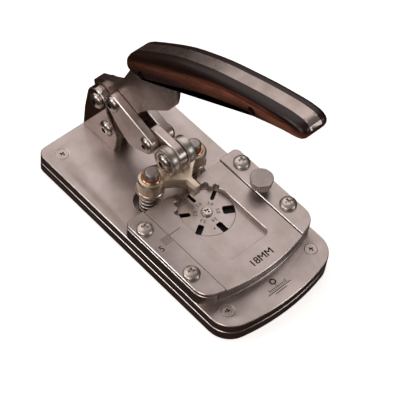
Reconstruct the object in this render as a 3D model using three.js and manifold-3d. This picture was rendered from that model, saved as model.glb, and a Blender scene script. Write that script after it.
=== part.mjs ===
// Bench strap punch: a steel lever press on a two-layer base. A long handle turns on a rear bracket,
// a pair of links pulls a roller lever down, and the rollers push a sprung bridge with a narrow blade
// into a slotted die disc, which turns in a gauge plate held between two rails.
// Millimetres, +Z up. X runs across the base, the front arc faces -Y and the bracket stands at +Y.
import * as THREE from "three";
import { mergeVertices } from "three/addons/utils/BufferGeometryUtils.js";
import Module from "manifold-3d";

const wasm = await Module();
wasm.setup();

// ---- Base ----
const BASE_WIDTH = 80;
const BASE_LENGTH = 155.4;
const TOP_PLATE = 6;
const LOWER_PLATE = 6.5;
const FOOT_HEIGHT = 1.5;
const FOOT_RADIUS = 6;
const FRONT_ARC = 130;
const FRONT_CORNER = 14;
const REAR_CORNER = 5;
const BASE_SCREW_INSET = 9.8;
const BASE_SCREW_FRONT_INSET = 14.7;
const DECK = FOOT_HEIGHT + LOWER_PLATE + TOP_PLATE;
const REAR = BASE_LENGTH / 2;
const FRONT = -BASE_LENGTH / 2;
const ARC_Y = FRONT + FRONT_ARC;

// ---- Die block, rails and gauge plate ----
const BLOCK_SETBACK = 16.4;
const BLOCK_ARC = FRONT_ARC - BLOCK_SETBACK;
const BLOCK_REAR = 6.1;
const BLOCK_HEIGHT = 8;
const BLOCK_FLOOR = 3.2;
const BLOCK_CORNER = 10;
const BLOCK_REAR_CORNER = 3;
const RAIL_THICKNESS = 2.5;
const RAIL_WIDTH = 12.6;
const RAIL_SCREW_INSET = 5.3;
const RAIL_SCREW_REAR = 9.7;
const RAIL_SCREW_SPACING = 35.7;
const GAUGE_FIT = 0.3;
const GAUGE_LIP = 4.1;
const GAUGE_TOP = 9.7;
const GAUGE_TRAVEL = 5;
const WINDOW_HALF = 15.3;
const WINDOW_FRONT = -45.5;
const WINDOW_CORNER = 3.5;
const THROAT_HALF = 8.4;
const KNOB_RADIUS = 6.4;
const KNOB_INSET = 9.4;
const KNOB_X = BASE_WIDTH / 2 - KNOB_INSET;
const KNOB_Y = -22.1;
const KNOB_GAP = 3.2;
const KNOB_HEIGHT = 6.2;

// ---- Die disc and blade ----
const DISC_Y = -13.8;
const DISC_RADIUS = 15.2;
const DISC_THICKNESS = 2.4;
const DISC_RECESS = 4;
const DISC_FIT = 0.2;
const SLOT_INNER = 8.7;
const SLOT_WIDTHS = [2, 2, 5, 3.6, 3.2, 2.5];
const BLADE_THICKNESS = 1.7;
const BLADE_LENGTH = 4.6;
const BLADE_TIP = 11;

// ---- Press bridge, posts and springs ----
const POST_X = 15;
const POST_Y = 14.5;
const POST_RADIUS = 4;
const POST_TOP = 25.8;
const POCKET_RADIUS = 8.3;
const BRIDGE_BOTTOM = 10.4;
const BRIDGE_HEIGHT = 10.1;
const BRIDGE_WEB = 7;
const EAR_RADIUS = 7.8;
const NOSE_HALF = 1.9;
const NOSE_FRONT = -5.6;
const BUSHING_WALL = 1;
const BUSHING_FLANGE = 5.3;
const SPRING_WIRE = 1.1;
const SPRING_TURNS = 6;

// ---- Linkage: three layers of plate, with pivots given from the base's top face ----
const CORE = 5;
const SIDE_PLATE = 4.9;
const LAYER_GAP = 0.2;
const PIN_RADIUS = 2.5;
const PIN_FIT = 0.1;
const OPEN_PIVOT_FIT = 0.3;
// The window's floor is level with the top of the disc.
const WINDOW_FLOOR = DISC_RECESS + PIN_FIT + DISC_THICKNESS;
const HANDLE_PIVOT = [67.1, 28.5];
const LINK_UPPER = [54.7, 36.8];
const LINK_LOWER = [27.1, 29.2];
const LEVER_PIVOT = [58.3, 13.3];
const ROLLER_PIVOT = [13.2, 28.6];
const ROLLER_RADIUS = 8;
const ROLLER_WIDTH = 5;
const ROLLER_WALL = 1.6;
const ROLLER_START = CORE / 2 + 0.5;
const BRACKET_MARGIN = 10.3;
const BRACKET_REAR = HANDLE_PIVOT[0] + BRACKET_MARGIN;
const BRACKET_SCREW_RADIUS = 1.4;
const BRACKET_SCREW_HEAD = 2.6;
const INNER = CORE / 2 + LAYER_GAP;
const OUTER = INNER + SIDE_PLATE;
const LINER_THICKNESS = 1;
const SCALE_THICKNESS = 5;
const SCALE_EDGE = 2.2;
const SCALE_SCREW_RADIUS = 1.9;
const SCALE_SCREWS = [
  [34.1, 78.5],
  [-39.5, 119.5],
];

// ---- Fasteners ----
const HEAD_RADIUS = 4.75;
const HEAD_HEIGHT = 2.5;
const COUNTERSINK_RADIUS = 3.75;
const ROUND = 24;
const SMALL_ROUND = 16;

const finish = (color, roughness, metalness = 1) =>
  new THREE.MeshStandardMaterial({ color, roughness, metalness });
const MATERIALS = {
  plate: finish(0xa89c96, 0.32),
  lever: finish(0x9a908c, 0.24),
  bridge: finish(0xb09a80, 0.3),
  bronze: finish(0xc08a68, 0.3),
  screw: finish(0xb8b4b2, 0.18),
  wood: finish(0x3a1a12, 0.4, 0),
  rubber: finish(0x1c1c1e, 0.8, 0),
};

// ---- Solids ----
function solid(geometry) {
  const bare = geometry.index ? geometry.toNonIndexed() : geometry.clone();
  bare.deleteAttribute("normal");
  bare.deleteAttribute("uv");
  const merged = mergeVertices(bare, 1e-4);
  return new wasm.Manifold(
    new wasm.Mesh({
      numProp: 3,
      vertProperties: merged.attributes.position.array,
      triVerts: new Uint32Array(merged.index.array),
    }),
  );
}

function geometryOf(made) {
  const { vertProperties, triVerts } = made.getMesh();
  const geometry = new THREE.BufferGeometry();
  geometry.setAttribute("position", new THREE.BufferAttribute(vertProperties, 3));
  geometry.setIndex(new THREE.BufferAttribute(triVerts, 1));
  geometry.computeVertexNormals();
  return geometry;
}

const cut = (body, ...tools) =>
  geometryOf(tools.reduce((left, tool) => left.subtract(solid(tool)), solid(body)));
const join = (...bodies) =>
  geometryOf(bodies.map(solid).reduce((all, body) => all.add(body)));
const moved = (geometry, x, y, z) => geometry.translate(x, y, z);

// Points on a round stretch, angles in degrees.
function arc(x, y, radius, from, to, steps) {
  return Array.from({ length: steps + 1 }, (_, i) => {
    const angle = THREE.MathUtils.degToRad(from + ((to - from) * i) / steps);
    return new THREE.Vector2(x + radius * Math.cos(angle), y + radius * Math.sin(angle));
  });
}
const circle = (x, y, radius, steps = ROUND) =>
  arc(x, y, radius, 0, 360 - 360 / steps, steps - 1);
const points = (...pairs) => pairs.map(([x, y]) => new THREE.Vector2(x, y));
const curve = (pairs, steps) => new THREE.SplineCurve(points(...pairs)).getPoints(steps);
const mirrored = (outline) =>
  outline.map((point) => new THREE.Vector2(-point.x, point.y)).reverse();

function shapeOf(outline, holes = []) {
  const shape = new THREE.Shape(outline);
  holes.forEach((hole) => shape.holes.push(new THREE.Path(hole)));
  return shape;
}

// A flat plate: an outline in X and Y, standing on height z.
const slab = (outline, height, z, holes = []) =>
  moved(new THREE.ExtrudeGeometry(shapeOf(outline, holes), { depth: height, bevelEnabled: false }), 0, 0, z);

// An upright plate: an outline in Y and Z, from x to x + thickness.
const UPRIGHT = new THREE.Matrix4().makeBasis(
  new THREE.Vector3(0, 1, 0),
  new THREE.Vector3(0, 0, 1),
  new THREE.Vector3(1, 0, 0),
);
function upright(outline, thickness, x, holes = [], bevel = {}) {
  const settings = { depth: thickness, bevelEnabled: false, ...bevel };
  const geometry = new THREE.ExtrudeGeometry(shapeOf(outline, holes), settings);
  return moved(geometry.applyMatrix4(UPRIGHT), x, 0, 0);
}

const box = (x0, x1, y0, y1, z0, z1) =>
  moved(
    new THREE.BoxGeometry(x1 - x0, y1 - y0, z1 - z0),
    (x0 + x1) / 2,
    (y0 + y1) / 2,
    (z0 + z1) / 2,
  );

// A turned piece about +Z from [radius, height] pairs.
const turned = (profile, steps = ROUND) =>
  new THREE.LatheGeometry(points(...profile), steps).rotateX(Math.PI / 2);
const rod = (radius, z0, z1, steps = ROUND) =>
  turned([[0, z0], [radius, z0], [radius, z1], [0, z1]], steps);
const tube = (outer, inner, z0, z1, steps = ROUND) =>
  turned([[inner, z0], [outer, z0], [outer, z1], [inner, z1], [inner, z0]], steps);
// Turns a piece made about +Z so that its +Z end points along +X or -X.
const alongX = (geometry, side) => geometry.rotateY((side * Math.PI) / 2);
const at = ([y, z]) => [y, z + DECK];

const object = new THREE.Group();
function add(name, geometry, material, x = 0, y = 0, z = 0) {
  const mesh = new THREE.Mesh(geometry, material);
  mesh.name = name;
  mesh.position.set(x, y, z);
  object.add(mesh);
}

// ---- Fasteners ----
function crossRecess(head, top, reach, depth) {
  const arm = reach / 3.2;
  return cut(
    head,
    box(-reach, reach, -arm, arm, top - depth, top + 1),
    box(-arm, arm, -reach, reach, top - depth, top + 1),
  );
}
function panScrew(shankLength) {
  const shank = PIN_RADIUS - PIN_FIT;
  const profile = [
    [0, -shankLength],
    [shank, -shankLength],
    [shank, 0],
    [HEAD_RADIUS, 0],
    [HEAD_RADIUS, 0.9],
    [HEAD_RADIUS * 0.86, 1.9],
    [HEAD_RADIUS * 0.5, 2.7],
    [0, 2.9],
  ];
  return crossRecess(turned(profile, SMALL_ROUND), 2.9, 2.4, 1.4);
}
function countersunkScrew(shankLength) {
  const shank = 1.6;
  const profile = [
    [0, -shankLength],
    [shank, -shankLength],
    [shank, -COUNTERSINK_RADIUS + shank],
    [COUNTERSINK_RADIUS - PIN_FIT, -PIN_FIT],
    [0, -PIN_FIT],
  ];
  return crossRecess(turned(profile, SMALL_ROUND), 0, 1.9, 1.2);
}
const countersink = () =>
  turned(
    [
      [0, -TOP_PLATE - 1],
      [1.8, -TOP_PLATE - 1],
      [1.8, -COUNTERSINK_RADIUS + 1.8],
      [COUNTERSINK_RADIUS + 0.1, 0.1],
      [0, 0.1],
    ],
    SMALL_ROUND,
  );

// Domed head about +Z, from z = 0 outwards.
const domeProfile = () => [
  [HEAD_RADIUS, 0],
  [HEAD_RADIUS, 0.5],
  [HEAD_RADIUS * 0.88, HEAD_HEIGHT * 0.62],
  [HEAD_RADIUS * 0.6, HEAD_HEIGHT * 0.93],
  [0, HEAD_HEIGHT],
];
// A pivot is a sleeve with a domed head on the right, and a socket screw that closes it on the left.
function pivot(name, [y, z], halfStack) {
  const bore = PIN_RADIUS - 0.8;
  const depth = 2 * halfStack;
  const sleeve = turned(
    [
      [0, -1],
      [bore, -1],
      [bore, -depth + 0.1],
      [PIN_RADIUS, -depth + 0.1],
      [PIN_RADIUS, 0],
      ...domeProfile(),
    ],
    SMALL_ROUND,
  );
  const hex = new THREE.CylinderGeometry(1.7, 1.7, 3, 6).rotateX(Math.PI / 2);
  const screw = turned(
    [[0, -8], [bore - 0.2, -8], [bore - 0.2, 0], ...domeProfile()],
    SMALL_ROUND,
  );
  add(`${name}_sleeve`, alongX(sleeve, 1), MATERIALS.screw, halfStack, y, z);
  const socketed = cut(screw, moved(hex, 0, 0, HEAD_HEIGHT));
  add(`${name}_screw`, alongX(socketed, -1), MATERIALS.screw, -halfStack, y, z);
}

// ---- Base ----
// Straight sides, a straight rear edge with rounded corners, and one arc across the front.
function plateOutline(half, rear, frontArc, frontCorner, rearCorner) {
  const cornerX = half - frontCorner;
  const cornerY = ARC_Y - Math.sqrt((frontArc - frontCorner) ** 2 - cornerX ** 2);
  const blend = THREE.MathUtils.radToDeg(Math.atan2(ARC_Y - cornerY, cornerX));
  return [
    ...arc(half - rearCorner, rear - rearCorner, rearCorner, 0, 90, 4),
    ...arc(rearCorner - half, rear - rearCorner, rearCorner, 90, 180, 4),
    ...arc(-cornerX, cornerY, frontCorner, 180, 360 - (180 - blend), 7),
    ...arc(0, ARC_Y, frontArc, 180 + blend, 360 - blend, 10).slice(1, -1),
    ...arc(cornerX, cornerY, frontCorner, -blend, 0, 7),
  ];
}
const bothSides = (x) => [-x, x];
const baseScrewX = BASE_WIDTH / 2 - BASE_SCREW_INSET;
const baseScrews = [
  ["rear", REAR - BASE_SCREW_INSET],
  ["front", FRONT + BASE_SCREW_FRONT_INSET],
].flatMap(([end, y]) => bothSides(baseScrewX).map((x) => [end, x, y]));
const railScrewX = BASE_WIDTH / 2 - RAIL_SCREW_INSET;
const railScrewRear = BLOCK_REAR - RAIL_SCREW_REAR;
const railScrews = [
  ["rear", railScrewRear],
  ["front", railScrewRear - RAIL_SCREW_SPACING],
].flatMap(([end, y]) => bothSides(railScrewX).map((x) => [end, x, y]));
const side = (x) => (x < 0 ? "left" : "right");
const bracketScrews = [
  ["rear", BRACKET_REAR - 5],
  ["front", BRACKET_REAR - 20],
].flatMap(([end, y]) => bothSides(INNER + SIDE_PLATE / 2).map((x) => [end, x, y]));
const chipOutline = points(
  [-3.4, DISC_Y + 8.6],
  [3.4, DISC_Y + 8.6],
  [3.4, DISC_Y + 15.8],
  [-3.4, DISC_Y + 15.8],
);

function makeBase() {
  const outline = plateOutline(BASE_WIDTH / 2, REAR, FRONT_ARC, FRONT_CORNER, REAR_CORNER);
  const railHoles = railScrews.map(([, x, y]) => circle(x, y, PIN_RADIUS + PIN_FIT, SMALL_ROUND));
  const bracketHoles = bracketScrews.map(([, x, y]) => circle(x, y, BRACKET_SCREW_RADIUS + 0.2, 12));
  const pockets = bothSides(POST_X).map((x) => circle(x, POST_Y, POCKET_RADIUS));
  const postHoles = bothSides(POST_X).map((x) => circle(x, POST_Y, POST_RADIUS + PIN_FIT));
  const threads = baseScrews.map(([, x, y]) => circle(x, y, 1.8, SMALL_ROUND));
  const lowerTop = FOOT_HEIGHT + LOWER_PLATE;
  const counterbore = ([, x, y]) => moved(rod(BRACKET_SCREW_HEAD + 0.3, -1, 3.4, 12), x, y, FOOT_HEIGHT);
  add(
    "base_lower_plate",
    cut(
      slab(outline, LOWER_PLATE, FOOT_HEIGHT, [chipOutline, ...postHoles, ...bracketHoles, ...threads]),
      ...bracketScrews.map(counterbore),
    ),
    MATERIALS.plate,
  );
  add(
    "base_top_plate",
    cut(
      slab(outline, TOP_PLATE, lowerTop, [chipOutline, ...railHoles, ...pockets, ...bracketHoles]),
      ...baseScrews.map(([, x, y]) => moved(countersink(), x, y, DECK)),
    ),
    MATERIALS.plate,
  );
  for (const [end, x, y] of baseScrews) {
    add(`base_screw_${end}_${side(x)}`, countersunkScrew(TOP_PLATE + 4.5), MATERIALS.screw, x, y, DECK);
    const foot = rod(FOOT_RADIUS, 0, FOOT_HEIGHT, SMALL_ROUND);
    add(`foot_${end}_${side(x)}`, foot, MATERIALS.rubber, x * 0.93, y * 0.97, 0);
  }
}

// ---- Die block, rails, gauge plate ----
function makeStation() {
  const outline = plateOutline(BASE_WIDTH / 2, BLOCK_REAR, BLOCK_ARC, BLOCK_CORNER, BLOCK_REAR_CORNER);
  const railHoles = railScrews.map(([, x, y]) => circle(x, y, PIN_RADIUS + PIN_FIT, SMALL_ROUND));
  const railInner = BASE_WIDTH / 2 - RAIL_WIDTH;
  const channelHalf = railInner + GAUGE_LIP + GAUGE_FIT;
  const channel = box(-channelHalf, channelHalf, FRONT, REAR, BLOCK_FLOOR, BLOCK_HEIGHT + 1);
  add(
    "die_block",
    cut(slab(outline, BLOCK_HEIGHT, 0, [chipOutline, ...railHoles]), channel),
    MATERIALS.plate,
    0,
    0,
    DECK,
  );

  const railTop = BLOCK_HEIGHT + RAIL_THICKNESS;
  const inside = box(-railInner, railInner, FRONT, REAR, -1, railTop);
  const knobHole = moved(rod(PIN_RADIUS, -1, RAIL_THICKNESS + 1, SMALL_ROUND), KNOB_X, KNOB_Y, 0);
  for (const x of bothSides(1)) {
    const otherHalf = box(Math.min(0, -x * BASE_WIDTH), Math.max(0, -x * BASE_WIDTH), FRONT, REAR, -1, railTop);
    const ownHoles = railHoles.filter((hole) => hole[0].x * x > 0);
    const plate = slab(outline, RAIL_THICKNESS, 0, ownHoles);
    add(
      `rail_${side(x)}`,
      cut(plate, inside, otherHalf, ...(x > 0 ? [knobHole] : [])),
      MATERIALS.plate,
      0,
      0,
      DECK + BLOCK_HEIGHT,
    );
  }
  for (const [end, x, y] of railScrews) {
    const length = RAIL_THICKNESS + BLOCK_HEIGHT + TOP_PLATE - 0.5;
    add(`rail_screw_${end}_${side(x)}`, panScrew(length), MATERIALS.screw, x, y, DECK + railTop);
  }

  const gaugeRear = BLOCK_REAR - 0.8;
  const bottom = BLOCK_FLOOR + GAUGE_FIT / 2;
  const lipHalf = railInner + GAUGE_LIP;
  const lipTop = BLOCK_HEIGHT - GAUGE_FIT;
  const topHalf = railInner - GAUGE_FIT;
  const band = (half, top) => slab(gaugeOutline(half, gaugeRear), top - bottom, bottom);
  const windowCorner = WINDOW_HALF - WINDOW_CORNER;
  const windowOutline = [
    ...points([WINDOW_HALF, DISC_Y], [-WINDOW_HALF, DISC_Y]),
    ...arc(-windowCorner, WINDOW_FRONT + WINDOW_CORNER, WINDOW_CORNER, 180, 270, 4),
    ...arc(windowCorner, WINDOW_FRONT + WINDOW_CORNER, WINDOW_CORNER, 270, 360, 4),
  ];
  const recess = DISC_RADIUS + DISC_FIT;
  const throatCorner = 2.4;
  const throat = [
    ...points([-THROAT_HALF, DISC_Y], [THROAT_HALF, DISC_Y]),
    ...arc(THROAT_HALF + throatCorner, gaugeRear - throatCorner, throatCorner, 180, 90, 4),
    ...arc(-THROAT_HALF - throatCorner, gaugeRear - throatCorner, throatCorner, 90, 0, 4),
  ];
  const notches = [30, 51, 129, 150].map((angle) => {
    const [spot] = arc(0, DISC_Y, recess + 0.4, angle, angle, 1);
    return moved(rod(1.7, WINDOW_FLOOR, GAUGE_TOP + 1, SMALL_ROUND), spot.x, spot.y, 0);
  });
  const above = GAUGE_TOP + 1 - WINDOW_FLOOR;
  add(
    "gauge_plate",
    cut(
      join(band(lipHalf, lipTop), band(topHalf, GAUGE_TOP)),
      slab(windowOutline, above, WINDOW_FLOOR),
      slab(throat, above, WINDOW_FLOOR),
      slab(circle(0, DISC_Y, recess, 36), GAUGE_TOP + 1 - DISC_RECESS, DISC_RECESS),
      slab(points([-4, DISC_Y + 8.9], [4, DISC_Y + 8.9], [4, REAR], [-4, REAR]), 20, 0),
      moved(rod(PIN_RADIUS + PIN_FIT, 0, 10, SMALL_ROUND), 0, DISC_Y, 0),
      ...notches,
    ),
    MATERIALS.plate,
    0,
    0,
    DECK,
  );
}

// The gauge plate's outline ends on the block's own front arc.
function gaugeOutline(half, rear) {
  const reach = THREE.MathUtils.radToDeg(Math.asin(half / BLOCK_ARC));
  return [...points([half, rear], [-half, rear]), ...arc(0, ARC_Y, BLOCK_ARC, 270 - reach, 270 + reach, 8)];
}

function makeDisc() {
  const steps = 60;
  const outline = [];
  SLOT_WIDTHS.forEach((width, index) => {
    const angle = 90 - index * 60;
    const turn = THREE.MathUtils.degToRad(angle);
    const half = width / 2;
    const lip = THREE.MathUtils.radToDeg(Math.asin(half / DISC_RADIUS));
    const corner = Math.min(half, 1);
    const walls = [
      ...points([Math.sqrt(DISC_RADIUS ** 2 - half ** 2), half]),
      ...arc(SLOT_INNER + corner, half - corner, corner, 90, 180, 2),
      ...arc(SLOT_INNER + corner, corner - half, corner, 180, 270, 2).slice(half > 1 ? 0 : 1),
      ...points([Math.sqrt(DISC_RADIUS ** 2 - half ** 2), -half]),
    ];
    walls.forEach((point) => point.rotateAround(new THREE.Vector2(), turn));
    const next = SLOT_WIDTHS[(index + 1) % SLOT_WIDTHS.length];
    const nextLip = THREE.MathUtils.radToDeg(Math.asin(next / 2 / DISC_RADIUS));
    const rim = arc(0, 0, DISC_RADIUS, angle - lip, angle - 60 + nextLip, steps / 10).slice(1, -1);
    outline.push(...walls, ...rim);
  });
  const disc = slab(outline.reverse(), DISC_THICKNESS, 0, [circle(0, 0, PIN_RADIUS + PIN_FIT, SMALL_ROUND)]);
  add("die_disc", disc, MATERIALS.plate, 0, DISC_Y, DECK + DISC_RECESS + PIN_FIT);
  const top = DISC_RECESS + PIN_FIT + DISC_THICKNESS + 0.1;
  const screw = turned(
    [[0, BLOCK_FLOOR - top + 0.3], [PIN_RADIUS, BLOCK_FLOOR - top + 0.3], [PIN_RADIUS, 0], [3.2, 0], [3.2, 0.5], [2.2, 1.1], [0, 1.3]],
    SMALL_ROUND,
  );
  add("disc_screw", crossRecess(screw, 1.3, 1.5, 0.8), MATERIALS.screw, 0, DISC_Y, DECK + top);
}

function makeKnob() {
  const ridges = 28;
  const waist = KNOB_RADIUS - 1.3;
  const knurl = Array.from({ length: 2 * ridges }, (_, i) => {
    const angle = (Math.PI * i) / ridges;
    const radius = waist - (i % 2 ? 0.45 : 0);
    return new THREE.Vector2(radius * Math.cos(angle), radius * Math.sin(angle));
  });
  const capHeight = 1.2;
  const cap = turned([
    [0, 0],
    [KNOB_RADIUS - 0.4, 0],
    [KNOB_RADIUS, 0.4],
    [KNOB_RADIUS, capHeight - 0.3],
    [KNOB_RADIUS - 0.6, capHeight],
    [0, capHeight],
  ]);
  const stemEnd = -KNOB_GAP - RAIL_THICKNESS + PIN_FIT;
  add(
    "clamp_knob",
    join(
      slab(knurl, KNOB_HEIGHT - capHeight, 0),
      moved(cap, 0, 0, KNOB_HEIGHT - capHeight),
      rod(PIN_RADIUS - PIN_FIT, stemEnd, 0.5, SMALL_ROUND),
    ),
    MATERIALS.screw,
    KNOB_X,
    KNOB_Y,
    DECK + BLOCK_HEIGHT + RAIL_THICKNESS + KNOB_GAP,
  );
}

// ---- Bracket and linkage ----
const pivotHole = ([y, z], fit = PIN_FIT) => circle(y, z, PIN_RADIUS + fit, SMALL_ROUND);

function bracketOutline() {
  const [y, z] = HANDLE_PIVOT;
  const foot = BRACKET_REAR - 26;
  return [
    ...points([foot, 0], [BRACKET_REAR, 0], [BRACKET_REAR - 0.6, 15]),
    ...arc(y, z, 7.8, 12, 170, 8),
    ...curve(
      [
        [y - 7.9, z - 1.5],
        [y - 10.4, z - 6.2],
        [y - 13.4, z - 10],
        [foot - 0.6, 13],
        [foot - 0.8, 6],
      ],
      8,
    ),
  ];
}

function makeBracket() {
  const outline = bracketOutline();
  const holes = [pivotHole(HANDLE_PIVOT), pivotHole(LEVER_PIVOT)];
  const bore = ([, x, y]) => moved(rod(BRACKET_SCREW_RADIUS + 0.05, -1, 7, 12), x, y, 0);
  for (const x of [-OUTER, INNER]) {
    const plate = upright(outline, SIDE_PLATE, x, holes);
    const bores = bracketScrews.filter((spot) => spot[1] * x > 0).map(bore);
    add(`bracket_${side(x)}`, cut(plate, ...bores), MATERIALS.lever, 0, 0, DECK);
  }
  const reach = LOWER_PLATE + TOP_PLATE + 6;
  const profile = [[0, 0.2], [BRACKET_SCREW_HEAD, 0.2], [BRACKET_SCREW_HEAD, 3.2], [BRACKET_SCREW_RADIUS, 3.2]];
  for (const [end, x, y] of bracketScrews) {
    const screw = turned([...profile, [BRACKET_SCREW_RADIUS, reach], [0, reach]], 12);
    const socket = new THREE.CylinderGeometry(1.2, 1.2, 4, 6).rotateX(Math.PI / 2);
    add(`bracket_screw_${end}_${side(x)}`, cut(screw, socket), MATERIALS.screw, x, y, FOOT_HEIGHT);
  }
  pivot("handle_pivot", at(HANDLE_PIVOT), OUTER);
  pivot("lever_pivot", at(LEVER_PIVOT), OUTER);
}

// Top and bottom lines of the grip, from the rear end to the nose.
const GRIP_TOP = [
  [45.6, 83.4],
  [41.8, 87.4],
  [28.4, 97.4],
  [14.7, 106.6],
  [2.5, 112.9],
  [-11, 119],
  [-24.5, 123.8],
  [-37.5, 128.2],
  [-50.5, 131.9],
  [-59, 134],
  [-65.5, 134.7],
];
const GRIP_END = [
  [-69.4, 133.7],
  [-71.4, 131.2],
  [-71.2, 128.3],
  [-69, 126],
];
const GRIP_BOTTOM = [
  [-64.5, 124.2],
  [-56, 121.4],
  [-44, 116.4],
  [-31.5, 111.2],
  [-18.5, 105],
  [-10.1, 100.7],
  [-2.3, 95.8],
  [7, 89.4],
  [14.2, 83.8],
];

const GRIP_HEEL = [
  [45.4, 74],
  [47, 76.8],
  [47, 80.2],
];

function tangOutline() {
  const [ay, az] = HANDLE_PIVOT;
  const [by, bz] = LINK_UPPER;
  return [
    ...curve(GRIP_TOP, 20),
    ...curve([GRIP_TOP.at(-1), ...GRIP_END, GRIP_BOTTOM[0]], 8).slice(1, -1),
    ...curve(GRIP_BOTTOM, 14),
    ...points([16.4, 81.5], [16.2, 69.5]),
    ...curve([[16.6, 65.6], [18.2, 62.2], [21, 59], [27.5, 53.2], [33.9, 47.2], [40.2, 39.1]], 8),
    ...arc(by, bz, 6, 215, 262, 3),
    ...arc(ay, az, 8, 215, 375, 7),
    ...points([ay + 8.6, az + 5.6], [ay + 6, az + 9.8], [ay - 1.3, az + 14.2], [ay - 12.4, az + 21.6]),
    ...points([ay - 15, az + 29], [ay - 20.4, az + 42]),
    ...curve(GRIP_HEEL, 3),
  ];
}
const scaleOutline = () => [
  ...curve(GRIP_TOP, 20),
  ...curve([GRIP_TOP.at(-1), ...GRIP_END, GRIP_BOTTOM[0]], 8).slice(1, -1),
  ...curve([...GRIP_BOTTOM, [21.2, 79.3], [28.3, 75.6], [35.5, 73.2], [42, 72.6]], 18),
  ...curve([[42, 72.6], ...GRIP_HEEL], 6).slice(1),
];

function makeHandle() {
  const screwHoles = SCALE_SCREWS.map(([y, z]) => circle(y, z, SCALE_SCREW_RADIUS + PIN_FIT, SMALL_ROUND));
  const holes = [pivotHole(HANDLE_PIVOT), pivotHole(LINK_UPPER), ...screwHoles];
  add("handle_tang", upright(tangOutline(), CORE, -CORE / 2, holes), MATERIALS.lever, 0, 0, DECK);

  const rounding = {
    bevelEnabled: true,
    bevelThickness: SCALE_EDGE,
    bevelSize: SCALE_EDGE,
    bevelOffset: -SCALE_EDGE,
    bevelSegments: 3,
  };
  const liner = CORE / 2 + LINER_THICKNESS;
  const half = liner + SCALE_THICKNESS;
  const grip = upright(scaleOutline(), 2 * (half - SCALE_EDGE), -half + SCALE_EDGE, [], rounding);
  const bores = SCALE_SCREWS.map(([y, z]) =>
    moved(alongX(rod(SCALE_SCREW_RADIUS + 0.7, -20, 20, SMALL_ROUND), 1), 0, y, z),
  );
  for (const x of bothSides(1)) {
    const face = x * liner;
    const away = -x * 40;
    const rest = box(Math.min(face, away), Math.max(face, away), -100, 100, 0, 200);
    add(`scale_${side(x)}`, cut(grip, rest, ...bores), MATERIALS.wood, 0, 0, DECK);
    const plate = upright(scaleOutline(), LINER_THICKNESS, Math.min(face, (x * CORE) / 2), screwHoles);
    add(`liner_${side(x)}`, plate, MATERIALS.lever, 0, 0, DECK);
  }
  SCALE_SCREWS.forEach(([y, z], index) => {
    const reach = half - 1.8;
    const bolt = alongX(rod(SCALE_SCREW_RADIUS, -reach, reach, SMALL_ROUND), 1);
    const end = index ? "front" : "rear";
    add(`scale_bolt_${end}`, bolt, MATERIALS.screw, 0, y, z + DECK);
  });
  pivot("link_upper", at(LINK_UPPER), OUTER);
}

function linkOutline() {
  const [by, bz] = LINK_UPPER;
  const [cy, cz] = LINK_LOWER;
  return [
    ...arc(by, bz, 5.8, -20, 98, 6),
    ...arc(cy, cz, 5.4, 104, 205, 6),
    ...curve(
      [
        [cy - 1.4, cz - 6.6],
        [cy + 3.5, cz - 9],
        [cy + 8.5, cz - 11.2],
        [cy + 13.5, cz - 11.6],
        [cy + 18.5, cz - 9],
        [by - 3.8, bz - 12.6],
        [by + 1.8, bz - 7.8],
      ],
      12,
    ),
  ];
}

function makeLinks() {
  const holes = [pivotHole(LINK_UPPER), pivotHole(LINK_LOWER, OPEN_PIVOT_FIT)];
  for (const x of [-OUTER, INNER]) {
    add(`link_${side(x)}`, upright(linkOutline(), SIDE_PLATE, x, holes), MATERIALS.lever, 0, 0, DECK);
  }
}

// The roller lever: level over the rollers, then falling to its pivot between the bracket plates.
function leverOutline() {
  const [cy, cz] = LINK_LOWER;
  const [dy, dz] = ROLLER_PIVOT;
  const [ey, ez] = LEVER_PIVOT;
  return [
    ...arc(dy, dz, 7.5, 90, 250, 9),
    ...points([dy + 4, dz - 6.4], [cy - 3, cz - 6.4], [cy + 8, cz - 8.6], [ey - 8, ez - 4.6]),
    ...arc(ey, ez, 6, 235, 410, 8),
    ...points([cy + 8, cz + 1.2], [cy + 3.2, cz + 6.6], [cy, cz + 7.6]),
  ];
}

function makeLever() {
  const holes = [pivotHole(LINK_LOWER), pivotHole(ROLLER_PIVOT), pivotHole(LEVER_PIVOT)];
  add("press_lever", upright(leverOutline(), CORE, -CORE / 2, holes), MATERIALS.lever, 0, 0, DECK);
  pivot("link_lower", at(LINK_LOWER), OUTER);
  pivot("roller_axle", at(ROLLER_PIVOT), ROLLER_START + ROLLER_WIDTH);
  const [y, z] = at(ROLLER_PIVOT);
  for (const x of bothSides(1)) {
    const race = ROLLER_RADIUS - ROLLER_WALL;
    const ring = tube(ROLLER_RADIUS, race, ROLLER_START, ROLLER_START + ROLLER_WIDTH, 32);
    add(`roller_${side(x)}`, alongX(ring, x), MATERIALS.screw, 0, y, z);
    const hub = tube(race - 0.25, PIN_RADIUS + PIN_FIT, CORE / 2 + 0.1, ROLLER_START + ROLLER_WIDTH - 0.1);
    add(`roller_hub_${side(x)}`, alongX(hub, x), MATERIALS.screw, 0, y, z);
  }
}

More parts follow.
